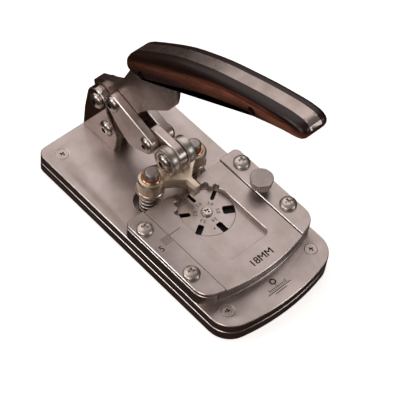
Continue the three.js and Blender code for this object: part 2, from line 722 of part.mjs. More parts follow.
// ---- Press bridge ----
function makePress() {
  const top = BRIDGE_BOTTOM + BRIDGE_HEIGHT;
  const webHalf = [
    ...points([NOSE_HALF, NOSE_FRONT], [NOSE_HALF, 1.4], [7.2, 5.9], [POST_X - 4, POST_Y - 6.4]),
    ...points([POST_X, POST_Y], [POST_X - 4, POST_Y + 6.4], [6, POST_Y + 4.4]),
  ];
  const web = slab([...webHalf, ...mirrored(webHalf)], BRIDGE_WEB, top - BRIDGE_WEB);
  const ear = (x) =>
    moved(
      turned([
        [0, 0],
        [EAR_RADIUS, 0],
        [EAR_RADIUS, 1.4],
        [EAR_RADIUS - 0.5, 1.9],
        [EAR_RADIUS - 0.5, BRIDGE_HEIGHT - 1.6],
        [EAR_RADIUS - 1.1, BRIDGE_HEIGHT - 0.5],
        [EAR_RADIUS - 2.2, BRIDGE_HEIGHT],
        [0, BRIDGE_HEIGHT],
      ]),
      x,
      POST_Y,
      BRIDGE_BOTTOM,
    );
  const sleeve = POST_RADIUS + PIN_FIT + BUSHING_WALL;
  const bore = (x) => moved(rod(sleeve + PIN_FIT, 0, 40), x, POST_Y, 0);
  const bladeBack = DISC_Y + SLOT_INNER + 0.8 + BLADE_LENGTH;
  const socketHalf = BLADE_THICKNESS / 2 + PIN_FIT;
  const bladeTop = top - 2.5;
  const socket = box(
    -socketHalf,
    socketHalf,
    bladeBack - BLADE_LENGTH - PIN_FIT,
    bladeBack + PIN_FIT,
    0,
    bladeTop + PIN_FIT,
  );
  const ears = bothSides(POST_X).map(ear);
  add(
    "press_bridge",
    cut(join(web, ...ears), socket, ...bothSides(POST_X).map(bore)),
    MATERIALS.bridge,
    0,
    0,
    DECK,
  );
  const blade = box(
    -BLADE_THICKNESS / 2,
    BLADE_THICKNESS / 2,
    bladeBack - BLADE_LENGTH,
    bladeBack,
    BLADE_TIP,
    bladeTop,
  );
  add("punch_blade", blade, MATERIALS.screw, 0, 0, DECK);

  for (const x of bothSides(POST_X)) {
    const bushing = turned([
      [POST_RADIUS + PIN_FIT, 0],
      [sleeve, 0],
      [sleeve, BRIDGE_HEIGHT],
      [BUSHING_FLANGE, BRIDGE_HEIGHT],
      [BUSHING_FLANGE, BRIDGE_HEIGHT + 0.7],
      [POST_RADIUS + PIN_FIT, BRIDGE_HEIGHT + 0.9],
      [POST_RADIUS + PIN_FIT, 0],
    ]);
    add(`bushing_${side(x)}`, bushing, MATERIALS.bronze, x, POST_Y, DECK + BRIDGE_BOTTOM);
    const postBottom = -TOP_PLATE - LOWER_PLATE + 0.5;
    const post = turned([
      [0, postBottom],
      [POST_RADIUS, postBottom],
      [POST_RADIUS, POST_TOP - 1.2],
      [POST_RADIUS - 0.4, POST_TOP - 0.4],
      [POST_RADIUS - 1.2, POST_TOP],
      [0, POST_TOP],
    ]);
    add(`guide_post_${side(x)}`, post, MATERIALS.screw, x, POST_Y, DECK);
    add(`spring_${side(x)}`, spring(), MATERIALS.screw, x, POST_Y, DECK - TOP_PLATE);
  }
}

// A compression spring between the pocket's floor and the bridge.
function spring() {
  const radius = POST_RADIUS + 0.3 + SPRING_WIRE / 2;
  const rise = TOP_PLATE + BRIDGE_BOTTOM - SPRING_WIRE - 0.3;
  class Helix extends THREE.Curve {
    getPoint(t) {
      const angle = 2 * Math.PI * SPRING_TURNS * t;
      const height = SPRING_WIRE / 2 + 0.1 + rise * t;
      return new THREE.Vector3(radius * Math.cos(angle), radius * Math.sin(angle), height);
    }
  }
  const section = shapeOf(circle(0, 0, SPRING_WIRE / 2, 6));
  return new THREE.ExtrudeGeometry(section, { steps: SPRING_TURNS * 12, extrudePath: new Helix() });
}

makeBase();
makeStation();
makeDisc();
makeKnob();
makeBracket();
makeHandle();
makeLinks();
makeLever();
makePress();

export default object;
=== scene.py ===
"""Bench strap punch: the finished surfaces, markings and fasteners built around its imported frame."""

import math

import bmesh
import bpy
from mathutils import Matrix, Vector


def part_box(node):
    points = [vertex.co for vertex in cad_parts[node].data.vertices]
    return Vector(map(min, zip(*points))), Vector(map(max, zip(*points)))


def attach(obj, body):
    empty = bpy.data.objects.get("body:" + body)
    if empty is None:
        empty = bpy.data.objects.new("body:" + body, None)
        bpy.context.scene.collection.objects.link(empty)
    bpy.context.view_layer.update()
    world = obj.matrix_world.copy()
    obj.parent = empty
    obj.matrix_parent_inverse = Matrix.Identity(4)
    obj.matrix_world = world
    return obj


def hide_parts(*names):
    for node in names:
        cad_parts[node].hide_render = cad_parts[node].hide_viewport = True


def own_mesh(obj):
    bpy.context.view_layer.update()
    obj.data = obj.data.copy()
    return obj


bl_info = {
    "name": "Bench Strap Punch",
    "version": (1, 0, 0),
    "blender": (4, 5, 0),
    "location": "View3D > Sidebar > Strap Punch",
    "description": "Builds a bench strap punch around its packed frame",
    "category": "Add Mesh",
}

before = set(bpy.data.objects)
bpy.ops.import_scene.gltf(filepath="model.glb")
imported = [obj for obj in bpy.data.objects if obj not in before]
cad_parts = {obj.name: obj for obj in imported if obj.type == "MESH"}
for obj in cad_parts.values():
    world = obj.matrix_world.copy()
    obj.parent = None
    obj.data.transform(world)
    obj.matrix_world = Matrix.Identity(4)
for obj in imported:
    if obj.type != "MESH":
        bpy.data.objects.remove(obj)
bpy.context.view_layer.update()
MM = 0.001
SIDES = ("left", "right")
ENDS = ("rear", "front")
SEAM = 0.002 * MM

# Sizes in millimetres that come from the mechanism or are worked out once.
SPRING_WIRE_RADIUS = 0.55
PIVOT_HEAD = 2.5
PIVOT_BARREL = 2.45
KNOB_HEIGHT = 6.2
KNURL_DEPTH = 0.6
# Depth below the grip's top line over which the wood's painted light and shade is spread.
LIT_BAND_DEPTH = 14
GRIP_DROP = 51
GRAIN_STRETCH = 0.1


def linear(code):
    """The linear colour of an sRGB hex code."""
    channels = [int(code[i : i + 2], 16) / 255 for i in (1, 3, 5)]
    return tuple(c / 12.92 if c <= 0.04045 else ((c + 0.055) / 1.055) ** 2.4 for c in channels)


def length(name, description, default):
    """A size in millimetres that a user can set."""
    return bpy.props.FloatProperty(name=name, description=description, default=default, min=0.0, unit="NONE")


def colour(name, description, code):
    """A colour that a user can set."""
    return bpy.props.FloatVectorProperty(
        name=name, description=description, default=linear(code), subtype="COLOR", size=3, min=0.0, max=1.0
    )


class PunchSizes(bpy.types.PropertyGroup):
    """Sizes that only the finish adds, in millimetres."""

    plate_chamfer: length("Plate chamfer", "Ground corner of the flat plates", 0.35)
    lever_chamfer: length("Lever chamfer", "Broken edge of the linkage plates", 0.45)
    grip_rounding: length("Grip rounding", "Radius along the outer edges of the wood", 3.3)
    socket_width: length("Socket radius", "Corner radius of the hexagon sockets", 1.75)
    socket_depth: length("Socket depth", "Depth of the hexagon sockets", 2.0)
    etch_depth: length("Etch height", "Height of the etched markings", 0.03)
    size_mark: length("Size mark", "Letter height of the size mark", 4.4)
    knurl_ridges: bpy.props.IntProperty(
        name="Knurl ridges", description="Straight ridges round the clamp knob", default=28, min=8
    )
    spring_turns: bpy.props.IntProperty(
        name="Spring turns", description="Turns in each compression spring", default=5, min=2
    )


class PunchColours(bpy.types.PropertyGroup):
    """Colours of the finishes."""

    plate: colour("Ground steel", "Base, rails and gauge plate", "#cdc3c3")
    lever: colour("Satin steel", "Bracket, tang and links", "#cdc1be")
    bridge: colour("Warm steel", "Press bridge", "#f2e4d2")
    bright: colour("Bright steel", "Screws, posts and rollers", "#e8e1de")
    bronze: colour("Bronze", "Bushings", "#e0ae90")
    wood: colour("Rosewood", "Main colour of the scales", "#27120c")
    # Its red also paints the lit band on the scales and the highlight towards the nose.
    streak: colour("Rosewood streak", "Red streaks of the scales", "#c27a60")
    # Black of the etched marks, also used as painted shade in sockets, recesses, slot walls and grooves.
    black: colour("Black oxide", "Sockets and etched marks", "#221a19")
    rubber: colour("Rubber", "Feet", "#1c1c1e")


def sizes():
    return bpy.context.scene.punch_sizes


def colours():
    return bpy.context.scene.punch_colours


# ---------------------------------------------------------------- materials


def add_node(tree, kind, inputs=None, links=None, **settings):
    """Adds one node, with its settings, its plain inputs and what is linked into it."""
    made = tree.nodes.new(kind)
    for key, value in settings.items():
        setattr(made, key, value)
    for key, value in (inputs or {}).items():
        made.inputs[key].default_value = value
    for key, source in (links or {}).items():
        tree.links.new(source, made.inputs[key])
    return made


def start_material(name):
    """A new material with its tree and its shader, or None for both if it has been made."""
    made = bpy.data.materials.get(name)
    if made:
        return made, None, None
    made = bpy.data.materials.new(name)
    made.use_nodes = True
    return made, made.node_tree, made.node_tree.nodes["Principled BSDF"]


def steel(name, tint, roughness, spread, patch, grain, grain_height):
    """Worked steel: a tint in soft patches, and a fine tooling grain in its gloss and its bump.

    patch and grain are the sizes of the patches and of the grain in millimetres."""
    made, tree, shader = start_material(name)
    if tree is None:
        return made
    place = add_node(tree, "ShaderNodeTexCoord").outputs["Object"]
    patches = add_node(
        tree,
        "ShaderNodeTexNoise",
        {"Scale": 1 / (patch * MM), "Detail": 5, "Roughness": 0.6},
        {"Vector": place},
    )
    tooling = add_node(
        tree, "ShaderNodeTexNoise", {"Scale": 1 / (grain * MM), "Detail": 3}, {"Vector": place}
    )
    tone = add_node(
        tree,
        "ShaderNodeMapRange",
        {"From Min": 0.3, "From Max": 0.7, "To Min": 0.0, "To Max": 1.0},
        {"Value": patches.outputs["Fac"]},
    )
    mixed = add_node(
        tree,
        "ShaderNodeMix",
        {
            "A": (tint[0] * 0.8, tint[1] * 0.78, tint[2] * 0.72, 1),
            "B": (*[min(1, c * 1.08) for c in tint], 1),
        },
        {"Factor": tone.outputs["Result"]},
        data_type="RGBA",
    )
    gloss = add_node(
        tree,
        "ShaderNodeMapRange",
        {"From Min": 0.3, "From Max": 0.7, "To Min": roughness - spread, "To Max": roughness + spread},
        {"Value": tooling.outputs["Fac"]},
    )
    bump = add_node(
        tree,
        "ShaderNodeBump",
        {"Strength": 0.35, "Distance": grain_height * MM},
        {"Height": tooling.outputs["Fac"]},
    )
    tree.links.new(mixed.outputs["Result"], shader.inputs["Base Color"])
    tree.links.new(gloss.outputs["Result"], shader.inputs["Roughness"])
    tree.links.new(bump.outputs["Normal"], shader.inputs["Normal"])
    shader.inputs["Metallic"].default_value = 1.0
    return made


def ground_plate_steel():
    # Stainless plate, bead-blasted after grinding: an even satin with faint handling patches.
    return steel("ground_plate_steel", colours().plate, 0.36, 0.05, 16, 1.0, 0.004)


def satin_lever_steel():
    # Laser-cut stainless, tumbled: a little glossier than the plates, so it picks up its surroundings.
    return steel("satin_lever_steel", colours().lever, 0.3, 0.03, 9, 1.6, 0.001)


def mirror_bracket_steel():
    # Polished stainless sheet: it reflects the base beside it.
    return steel("mirror_bracket_steel", colours().lever, 0.07, 0.02, 12, 0.8, 0.003)


def warm_bridge_steel():
    # Milled steel, temper-coloured to a straw tone and polished.
    return steel("warm_bridge_steel", colours().bridge, 0.32, 0.04, 6, 1.0, 0.001)


def chamfer_highlight_steel():
    # Fresh-cut chamfers, tinted lighter than the plates as a painted highlight: bright lines along the edges
    # of the plates.
    return steel("chamfer_highlight_steel", colours().bright, 0.34, 0.03, 5, 0.8, 0.001)


def bright_turned_steel():
    # Turned and polished fastener steel, with fine rings that only blur it slightly.
    return steel("bright_turned_steel", colours().bright, 0.28, 0.03, 4, 1.0, 0.0005)


def satin_turned_steel():
    # Turned steel, lapped to an even satin: soft broad highlights.
    return steel("satin_turned_steel", colours().bright, 0.36, 0.03, 8, 1.4, 0.0005)


def lapped_steel():
    # Turned steel, lapped dull: an even mid grey.
    return steel("lapped_steel", tuple(c * 0.75 for c in colours().plate), 0.42, 0.03, 8, 1.4, 0.0005)


def knurled_steel():
    # Rolled knurl: rough in its grooves, so that it takes light from every side.
    return steel("knurled_steel", colours().bright, 0.58, 0.04, 5, 0.8, 0.002)


def turned_bronze():
    # Sintered bronze bushing, turned: warm and fairly glossy.
    return steel("turned_bronze", colours().bronze, 0.26, 0.05, 2, 0.3, 0.004)


def spring_wire_steel():
    # Drawn music wire: dark grey and glossy.
    return steel("spring_wire_steel", colours().bright, 0.32, 0.05, 2, 0.6, 0.001)


def dielectric(name, tint, roughness, grain):
    """A plain dark finish that isn't metal, with a fine grain."""
    made, tree, shader = start_material(name)
    if tree is None:
        return made
    place = add_node(tree, "ShaderNodeTexCoord").outputs["Object"]
    noise = add_node(tree, "ShaderNodeTexNoise", {"Scale": 1 / (grain * MM), "Detail": 3}, {"Vector": place})
    mixed = add_node(
        tree,
        "ShaderNodeMix",
        {"A": (*[c * 0.7 for c in tint], 1), "B": (*[c * 1.2 for c in tint], 1)},
        {"Factor": noise.outputs["Fac"]},
        data_type="RGBA",
    )
    bump = add_node(
        tree, "ShaderNodeBump", {"Strength": 0.3, "Distance": 0.01 * MM}, {"Height": noise.outputs["Fac"]}
    )
    tree.links.new(mixed.outputs["Result"], shader.inputs["Base Color"])
    tree.links.new(bump.outputs["Normal"], shader.inputs["Normal"])
    shader.inputs["Roughness"].default_value = roughness
    return made


def etch_black_and_painted_shade():
    # Black oxide in the etched marks, and painted shade in sockets, cross recesses, slot walls, bearing
    # grooves and the pocket under the disc: nearly black and dull.
    return dielectric("etch_black_and_painted_shade", colours().black, 0.6, 0.3)


def foot_rubber():
    # Moulded nitrile rubber: matte black.
    return dielectric("foot_rubber", colours().rubber, 0.8, 0.5)


def painted_lit_band(tree, depth):
    """How much red the wood shows at a depth below the grip's top line, as painted light and shade: black
    along the top, then a lit red band, then dark.
    """
    band = add_node(
        tree, "ShaderNodeMapRange", {"From Min": 0.0, "From Max": LIT_BAND_DEPTH * MM}, {"Value": depth}
    )
    ramp = add_node(tree, "ShaderNodeValToRGB", links={"Fac": band.outputs["Result"]})
    stops = ramp.color_ramp.elements
    stops[0].position, stops[0].color = 0.18, (0, 0, 0, 1)
    stops[1].position, stops[1].color = 0.76, (0.03, 0.03, 0.03, 1)
    for position, value in ((0.36, 1.0), (0.52, 0.8)):
        stops.new(position).color = (value, value, value, 1)
    return ramp.outputs["Color"]


def streaks_and_painted_light(tree, grain):
    """The share of red at each point: real streaks of the figure, shown only within the painted lit band,
    and a painted highlight that fades towards the rear of the grip.
    """
    parts = add_node(tree, "ShaderNodeSeparateXYZ", links={"Vector": grain})
    streaks = add_node(
        tree,
        "ShaderNodeTexNoise",
        {"Scale": 1 / (5 * MM), "Detail": 6, "Roughness": 0.62, "Distortion": 0.4},
        {"Vector": grain},
    )
    share = add_node(
        tree,
        "ShaderNodeMapRange",
        {"From Min": 0.3, "From Max": 0.62, "To Min": 0.1, "To Max": 1.0},
        {"Value": streaks.outputs["Fac"]},
    )
    lit = add_node(
        tree,
        "ShaderNodeMath",
        links={0: share.outputs["Result"], 1: painted_lit_band(tree, parts.outputs["Y"])},
        operation="MULTIPLY",
    )
    rear, middle = (spot.y * GRAIN_STRETCH for spot in (high_of("scale_left"), middle_of("scale_left")))
    # Painted highlight: the red is faint at the rear of the grip and full from its middle to the nose.
    painted_nose_highlight = add_node(
        tree,
        "ShaderNodeMapRange",
        {"From Min": rear, "From Max": middle, "To Min": 0.15, "To Max": 1.0},
        {"Value": parts.outputs["X"]},
    )
    figure_and_painted_light = add_node(
        tree,
        "ShaderNodeMath",
        links={0: lit.outputs[0], 1: painted_nose_highlight.outputs["Result"]},
        operation="MULTIPLY",
    )
    return figure_and_painted_light.outputs[0]


def oiled_rosewood():
    # Rosewood, shaped and oiled: near black, with red-brown streaks that follow the grip, seen only in a
    # painted lit band along its side that is brightest towards the nose.
    made, tree, shader = start_material("oiled_rosewood")
    if tree is None:
        return made
    grain = add_node(tree, "ShaderNodeAttribute", attribute_name="grain").outputs["Vector"]
    pores = add_node(
        tree,
        "ShaderNodeTexNoise",
        {"Scale": 1 / (0.7 * MM), "Detail": 3, "Roughness": 0.7},
        {"Vector": grain},
    )
    mixed = add_node(
        tree,
        "ShaderNodeMix",
        {"A": (*colours().wood, 1), "B": (*colours().streak, 1)},
        {"Factor": streaks_and_painted_light(tree, grain)},
        data_type="RGBA",
    )
    fine = add_node(
        tree,
        "ShaderNodeMapRange",
        {"From Min": 0.35, "From Max": 0.65, "To Min": 0.55, "To Max": 1.15},
        {"Value": pores.outputs["Fac"]},
    )
    toned = add_node(
        tree,
        "ShaderNodeVectorMath",
        links={0: mixed.outputs["Result"], 1: fine.outputs["Result"]},
        operation="MULTIPLY",
    )
    bump = add_node(
        tree, "ShaderNodeBump", {"Strength": 0.4, "Distance": 0.03 * MM}, {"Height": pores.outputs["Fac"]}
    )
    tree.links.new(toned.outputs["Vector"], shader.inputs["Base Color"])
    tree.links.new(bump.outputs["Normal"], shader.inputs["Normal"])
    shader.inputs["Roughness"].default_value = 0.38
    shader.inputs["Coat Weight"].default_value = 0.15
    shader.inputs["Coat Roughness"].default_value = 0.25
    return made


# ---------------------------------------------------------------- mesh helpers


def cad_copy(*nodes):
    """The surfaces of these CAD nodes in one bmesh, merged, with their flat faces whole."""
    bm = bmesh.new()
    for node in nodes:
        bm.from_mesh(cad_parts[node].data)
    bmesh.ops.remove_doubles(bm, verts=bm.verts, dist=SEAM)
    bmesh.ops.dissolve_limit(
        bm, angle_limit=math.radians(0.5), use_dissolve_boundaries=False, verts=bm.verts, edges=bm.edges
    )
    return bm


def sharp_edges(bm, angle=32.0):
    limit = math.radians(angle)
    return [e for e in bm.edges if e.is_manifold and e.is_convex and e.calc_face_angle(0.0) > limit]


def chamfer(bm, edges, width, segments=1, finish=1):
    """Cuts these edges back by a width in millimetres, in the material of that index."""
    cut = bmesh.ops.bevel(
        bm,
        geom=edges,
        offset=width * MM,
        offset_type="OFFSET",
        segments=segments,
        profile=0.5,
        affect="EDGES",
        clamp_overlap=False,
        material=-1,
    )
    for face in cut["faces"]:
        face.material_index = finish
    return bm


def turned(profile, steps=48, closed=False):
    """A shape turned about +Z from (radius, height) pairs in millimetres."""
    bm = bmesh.new()
    verts = [bm.verts.new((radius * MM, 0, height * MM)) for radius, height in profile]
    pairs = list(zip(verts, verts[1:])) + ([(verts[-1], verts[0])] if closed else [])
    edges = [bm.edges.new(pair) for pair in pairs]
    bmesh.ops.spin(
        bm, geom=verts + edges, cent=(0, 0, 0), axis=(0, 0, 1), angle=math.tau, steps=steps, use_merge=True
    )
    bmesh.ops.remove_doubles(bm, verts=bm.verts, dist=SEAM)
    bmesh.ops.recalc_face_normals(bm, faces=bm.faces)
    return bm


def prism(sides, radius, low, high):
    """An upright prism on Z, in millimetres."""
    bm = bmesh.new()
    bmesh.ops.create_cone(
        bm, cap_ends=True, segments=sides, radius1=radius * MM, radius2=radius * MM, depth=(high - low) * MM
    )
    bmesh.ops.translate(bm, verts=bm.verts, vec=(0, 0, (low + high) / 2 * MM))
    return bm


def block(low, high):
    """A box between two corners, in metres."""
    low, high = Vector(low), Vector(high)
    bm = bmesh.new()
    bmesh.ops.create_cube(bm, size=1.0)
    bmesh.ops.scale(bm, verts=bm.verts, vec=high - low)
    bmesh.ops.translate(bm, verts=bm.verts, vec=(low + high) / 2)
    return bm


def placed(bm, *matrices):
    """The shape carried by these matrices, the last one first."""
    whole = Matrix.Identity(4)
    for matrix in matrices:
        whole = whole @ matrix
    bmesh.ops.transform(bm, matrix=whole, verts=bm.verts)
    return bm


def joined(*shapes):
    """One bmesh that holds all these shapes."""
    whole = bmesh.new()
    for shape in shapes:
        mesh = bpy.data.meshes.new("part")
        shape.to_mesh(mesh)
        whole.from_mesh(mesh)
        shape.free()
        bpy.data.meshes.remove(mesh)
    return whole


def loose_object(bm):
    mesh = bpy.data.meshes.new("tool")
    bm.to_mesh(mesh)
    bm.free()
    made = bpy.data.objects.new("tool", mesh)
    bpy.context.scene.collection.objects.link(made)
    return made


def carved(bm, *cutters):
    """The shape with every cutter taken away."""
    work = loose_object(bm)
    tools = [loose_object(cutter) for cutter in cutters]
    for tool in tools:
        cut = work.modifiers.new("cut", "BOOLEAN")
        cut.object = tool
        cut.operation = "DIFFERENCE"
        cut.solver = "EXACT"
    result = bmesh.new()
    result.from_object(work, bpy.context.evaluated_depsgraph_get())
    for made in (work, *tools):
        mesh = made.data
        bpy.data.objects.remove(made)
        bpy.data.meshes.remove(mesh)
    return result


def paint_recess_shade(bm, reach, height, finish=1):
    """Paints shade into a recess: gives its faces, within a reach of Z and below a height, another material.
    """
    for face in bm.faces:
        middle = face.calc_center_median()
        if middle.to_2d().length < reach * MM and middle.z < height * MM and face.normal.z < 0.95:
            face.material_index = finish
    return bm


def add_piece(name, bm, finishes, body, stands_for=(), smooth=28.0):
    """Turns a bmesh into a finished piece that rides on a body."""
    bmesh.ops.recalc_face_normals(bm, faces=bm.faces)
    for face in bm.faces:
        face.smooth = True
    for edge in bm.edges:
        edge.smooth = edge.is_manifold and edge.calc_face_angle(0.0) < math.radians(smooth)
    mesh = bpy.data.meshes.new(name)
    bm.to_mesh(mesh)
    bm.free()
    for finish in finishes:
        mesh.materials.append(finish)
    made = bpy.data.objects.new(name, mesh)
    bpy.context.scene.collection.objects.link(made)
    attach(made, body)
    if stands_for:
        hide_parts(*stands_for)
    return made


def refinish(node, finish):
    """Gives a CAD node, whose shape stays, its finish."""
    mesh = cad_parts[node].data
    mesh.materials.clear()
    mesh.materials.append(finish)


def chamfered_plate(node, body, finish, width):
    """A CAD plate with its edges broken."""
    bm = cad_copy(node)
    chamfer(bm, sharp_edges(bm), width)
    return add_piece(f"finished_{node}", bm, [finish, chamfer_highlight_steel()], body, [node])


def middle_of(node):
    low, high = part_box(node)
    return (Vector(low) + Vector(high)) / 2


def low_of(node):
    return Vector(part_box(node)[0])


def high_of(node):
    return Vector(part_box(node)[1])


# ---------------------------------------------------------------- fasteners


def button_head(radius, height):
    """A domed socket head on Z = 0, with a hexagon socket."""
    bm = turned(
        [
            (0, -0.4),
            (radius - 0.25, -0.4),
            (radius, -0.1),
            (radius, 0.35),
            (radius * 0.97, 0.75),
            (radius * 0.9, 1.15),
            (radius * 0.78, 1.6),
            (radius * 0.62, 2.0),
            (radius * 0.48, 2.2),
            (0, height),
        ]
    )
    depth = sizes().socket_depth
    bm = carved(bm, prism(6, sizes().socket_width, height - depth, height + 1))
    # The socket's walls are painted black as shade.
    return paint_recess_shade(bm, sizes().socket_width * 1.02, height - 0.15)


def cross_cutters(reach, top, depth):
    """The two crossed blades that cut a cross recess."""
    arm = reach / 3
    for across, along in ((reach, arm), (arm, reach)):
        yield block(
            (-across * MM, -along * MM, (top - depth) * MM),
            (across * MM, along * MM, (top + 1) * MM),
        )


def pan_head(radius, height):
    bm = turned(
        [
            (0, -0.3),
            (radius - 0.3, -0.3),
            (radius, 0.0),
            (radius, 0.9),
            (radius * 0.95, 1.45),
            (radius * 0.84, 1.95),
            (radius * 0.66, 2.4),
            (radius * 0.4, 2.75),
            (0, height),
        ]
    )
    bm = carved(bm, *cross_cutters(2.0, height, 1.5))
    # The walls of the cross recess are painted black as shade.
    return paint_recess_shade(bm, 2.1, height - 0.5)


def countersunk_head(radius):
    """A flat head with a shallow dished ring, a little below the plate."""
    bm = turned(
        [
            (0, -radius),
            (0.3, -radius),
            (radius - 0.2, -0.45),
            (radius - 0.15, -0.2),
            (radius - 0.45, -0.08),
            (radius - 0.9, -0.12),
            (1.9, -0.3),
            (0, -0.34),
        ]
    )
    bm = carved(bm, *cross_cutters(1.45, -0.1, 1.2))
    # The walls of the cross recess are painted black as shade.
    return paint_recess_shade(bm, 1.5, -0.36)


def add_pivot(name, body):
    """The two domed screws that close a pivot, and the sleeve between them."""
    left, right = f"{name}_screw", f"{name}_sleeve"
    centre = middle_of(left)
    outer = -low_of(left).x / MM
    head = PIVOT_HEAD
    radius = (high_of(left).z - low_of(left).z) / 2 / MM
    span = 2 * (outer - head)
    barrel = turned([(0, 0), (PIVOT_BARREL, 0), (PIVOT_BARREL, span), (0, span)], 32)
    for side, node, extra in ((-1, left, None), (1, right, barrel)):
        seat = Matrix.Translation((side * (outer - head) * MM, centre.y, centre.z))
        turn = Matrix.Rotation(side * math.pi / 2, 4, "Y")
        shapes = [button_head(radius, head)]
        if extra:
            shapes.append(placed(extra, Matrix.Translation((0, 0, -span * MM))))
        bm = placed(joined(*shapes), seat, turn)
        finishes = [bright_turned_steel(), etch_black_and_painted_shade()]
        add_piece(f"finished_{node}", bm, finishes, body, [node])


# ---------------------------------------------------------------- markings


def text_shape(words, height, x, y, z, turn=0.0):
    """Flat letters of a height in millimetres, centred on a point and facing up."""
    curve = bpy.data.curves.new("words", "FONT")
    curve.body = words
    curve.size = height * MM * 1.38
    curve.align_x = "CENTER"
    curve.align_y = "CENTER"
    curve.extrude = sizes().etch_depth * MM / 2
    letters = bpy.data.objects.new("words", curve)
    bpy.context.scene.collection.objects.link(letters)
    mesh = bpy.data.meshes.new_from_object(letters.evaluated_get(bpy.context.evaluated_depsgraph_get()))
    bm = bmesh.new()
    bm.from_mesh(mesh)
    bpy.data.objects.remove(letters)
    bpy.data.curves.remove(curve)
    bpy.data.meshes.remove(mesh)
    bmesh.ops.remove_doubles(bm, verts=bm.verts, dist=SEAM)
    bolder = bm.copy()
    bmesh.ops.translate(bolder, verts=bolder.verts, vec=(0.04 * height * MM, 0, 0))
    both = joined(bm, bolder)
    return placed(both, Matrix.Translation((x, y, z)), Matrix.Rotation(turn, 4, "Z"))


def bar_shape(x0, x1, y, z, width):
    """One etched line along X, in metres, of a width in millimetres."""
    half = width * MM / 2
    rise = sizes().etch_depth * MM / 2
    return block((x0, y - half, z - rise), (x1, y + half, z + rise))


def add_mark(name, shapes, body):
    return add_piece(name, joined(*shapes), [etch_black_and_painted_shade()], body)


# ---------------------------------------------------------------- operators


class PUNCH_OT_base(bpy.types.Operator):
    """Finishes the two base plates, their screws and feet, and the mark on the front"""

    bl_idname = "punch.base"
    bl_label = "Base"

    def execute(self, context):
        plate = ground_plate_steel()
        for node in ("base_top_plate", "base_lower_plate"):
            chamfered_plate(node, "base", plate, sizes().plate_chamfer)
        for end in ENDS:
            for side in SIDES:
                node = f"base_screw_{end}_{side}"
                centre = middle_of(node)
                seat = Matrix.Translation((centre.x, centre.y, high_of("base_top_plate").z))
                turn = Matrix.Rotation(math.radians(20 + 35 * len(side + end)), 4, "Z")
                finishes = [ground_plate_steel(), etch_black_and_painted_shade()]
                add_piece(
                    f"finished_{node}",
                    placed(countersunk_head(3.7), seat, turn),
                    finishes,
                    "base",
                    [node],
                )
                refinish(f"foot_{end}_{side}", foot_rubber())
        self.mark_front()
        return {"FINISHED"}

    def mark_front(self):
        """A plain hexagon over a short ruler, etched on the front edge of the base."""
        top = high_of("base_top_plate").z
        front = low_of("base_top_plate").y
        rise = sizes().etch_depth
        hexagon = carved(prism(6, 2.1, 0, rise), prism(6, 1.2, -1, 1))
        shapes = [placed(hexagon, Matrix.Translation((0, front + 12.8 * MM, top)))]
        for half, y in ((8, 7.6), (4, 6.2)):
            shapes.append(bar_shape(-half * MM, half * MM, front + y * MM, top, 0.45))
        for step in range(11):
            x, tall = (step - 5) * 1.15, 2.0 if step % 5 == 0 else 1.4
            low = (x - 0.22, front / MM + 8.3, top / MM - rise)
            high = (x + 0.22, front / MM + 8.3 + tall, top / MM + rise)
            shapes.append(block([v * MM for v in low], [v * MM for v in high]))
        add_mark("etched_front_mark", shapes, "base")


class PUNCH_OT_station(bpy.types.Operator):
    """Finishes the die block, the rails with their screws, and the gauge plate with its marks"""

    bl_idname = "punch.station"
    bl_label = "Die station"

    def execute(self, context):
        plate = ground_plate_steel()
        width = sizes().plate_chamfer
        chamfered_plate("die_block", "base", plate, width)
        self.add_gauge(plate)
        for side in SIDES:
            chamfered_plate(f"rail_{side}", "base", plate, width)
            for end in ENDS:
                node = f"rail_screw_{end}_{side}"
                centre = middle_of(node)
                seat = Matrix.Translation((centre.x, centre.y, high_of(f"rail_{side}").z))
                turn = Matrix.Rotation(math.radians(17 * len(side + end)), 4, "Z")
                bm = placed(pan_head(4.75, 2.9), seat, turn)
                finishes = [satin_turned_steel(), etch_black_and_painted_shade()]
                add_piece(f"finished_{node}", bm, finishes, "base", [node])
        self.mark_gauge()
        self.mark_rail()
        return {"FINISHED"}

    def add_gauge(self, plate):
        """The gauge plate, with a broken edge along its top outline and round its window."""
        bm = cad_copy("gauge_plate")
        top = high_of("gauge_plate").z
        upper = [e for e in sharp_edges(bm) if all(v.co.z > top - SEAM for v in e.verts)]
        chamfer(bm, upper, 0.25)
        self.paint_pocket_shade(bm)
        finishes = [plate, chamfer_highlight_steel(), etch_black_and_painted_shade()]
        add_piece("finished_gauge_plate", bm, finishes, "gauge", ["gauge_plate"])

    def paint_pocket_shade(self, bm):
        """Paints the round pocket under the disc black as shade, where it shows through the disc's slots."""
        centre, top = middle_of("die_disc"), high_of("die_disc").z
        radius = high_of("die_disc").x - centre.x
        for face in bm.faces:
            middle = face.calc_center_median()
            if (middle - centre).to_2d().length < radius * 1.04 and middle.z < top - 0.05 * MM:
                face.material_index = 2

    def mark_gauge(self):
        """The strap width in front, and the index line at the left edge."""
        top = high_of("gauge_plate").z
        edge = high_of("rail_left").x
        index = middle_of("die_disc").y
        front = low_of("gauge_plate").y
        words = text_shape("18MM", sizes().size_mark, 0.6 * MM, front + 6.9 * MM, top)
        line = bar_shape(edge + 0.6 * MM, edge + 8.4 * MM, index, top, 0.35)
        add_mark("etched_gauge_marks", [words, line], "gauge")

    def mark_rail(self):
        """A scale of five millimetres on the left rail."""
        top = high_of("rail_left").z
        edge = high_of("rail_left").x
        index = middle_of("die_disc").y
        ticks = [
            bar_shape(edge - 5.6 * MM, edge - 0.5 * MM, index - step * MM, top, 0.3) for step in range(5)
        ]
        five = text_shape("5", 3.6, edge - 8.6 * MM, index - 4.6 * MM, top)
        add_mark("etched_rail_scale", [*ticks, five], "base")


